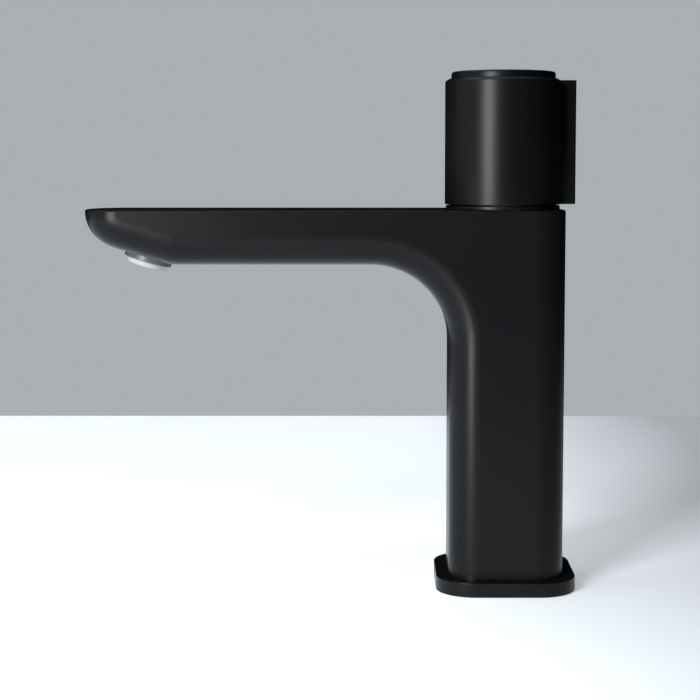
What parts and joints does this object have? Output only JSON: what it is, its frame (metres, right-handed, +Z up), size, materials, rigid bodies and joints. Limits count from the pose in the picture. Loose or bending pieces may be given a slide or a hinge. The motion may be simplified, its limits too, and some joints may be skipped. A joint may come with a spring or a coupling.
{
  "type": "bathroom mixer faucet",
  "caption": "Deck-mounted basin mixer: square column with a flat spout, a turning temperature handle with a rear fin, and a push button on top.",
  "frame": {"origin": "on the deck plane, on the tap hole's axis", "axes": "+Z up, the spout points along -X, +Y is to the right of someone behind the faucet looking along the spout"},
  "size_m": [0.1815, 0.0516, 0.2389],
  "materials": {
    "painted_brass": "matte black coating over cast brass",
    "painted_metal": "matte black coating",
    "dark_metal": "satin dark grey coating",
    "outlet_plastic": "light grey moulded plastic",
    "white_plastic": "moulded acetal",
    "grey_plastic": "moulded plastic",
    "ceramic": "lapped alumina",
    "rubber": "black rubber",
    "steel": "plain steel",
    "zinc": "die-cast zinc alloy",
    "brass": "plain brass"
  },
  "bodies": {
    "faucet": {"body": "painted_brass", "base_plate": "painted_metal", "base_gasket": "rubber", "mounting_stud": "steel", "clamp_washer": "rubber", "clamp_bracket": "steel", "mounting_nut": "brass", "cartridge_base": "white_plastic", "fixed_ceramic_disc": "ceramic", "cartridge_housing": "grey_plastic", "spindle_seal": "rubber", "housing_seal": "rubber", "cartridge_nut": "brass", "collar_ring": "painted_metal", "aerator_housing": "dark_metal", "aerator_insert": "outlet_plastic", "flow_regulator": "grey_plastic", "aerator_screen": "steel", "aerator_washer": "rubber"},
    "handle": {"handle_sleeve": "painted_metal", "lever_fin": "painted_metal", "fin_screws": "steel", "handle_hub": "zinc", "sleeve_screws": "steel", "temperature_limit_ring": "grey_plastic", "spindle_clip": "steel", "temperature_spindle": "white_plastic", "moving_ceramic_disc": "ceramic", "spring_seat": "grey_plastic", "button_spring": "steel"},
    "button": {"button_cap": "painted_metal", "button_plunger": "white_plastic", "valve_stem": "steel", "shutoff_poppet": "rubber"}
  },
  "joints": [
    {"name": "temperature_turn", "type": "hinge", "parent": "faucet", "child": "handle", "pos_m": [-0.0011, 0, 0.165], "axis": [0, 0, 1], "range_deg": [-45, 45]},
    {"name": "button_press", "type": "slide", "parent": "handle", "child": "button", "axis": [0, 0, -1], "range_m": [0, 0.003], "stiffness_N_per_m": 900, "springref_m": -0.001, "deforming": ["button_spring"]}
  ]
}
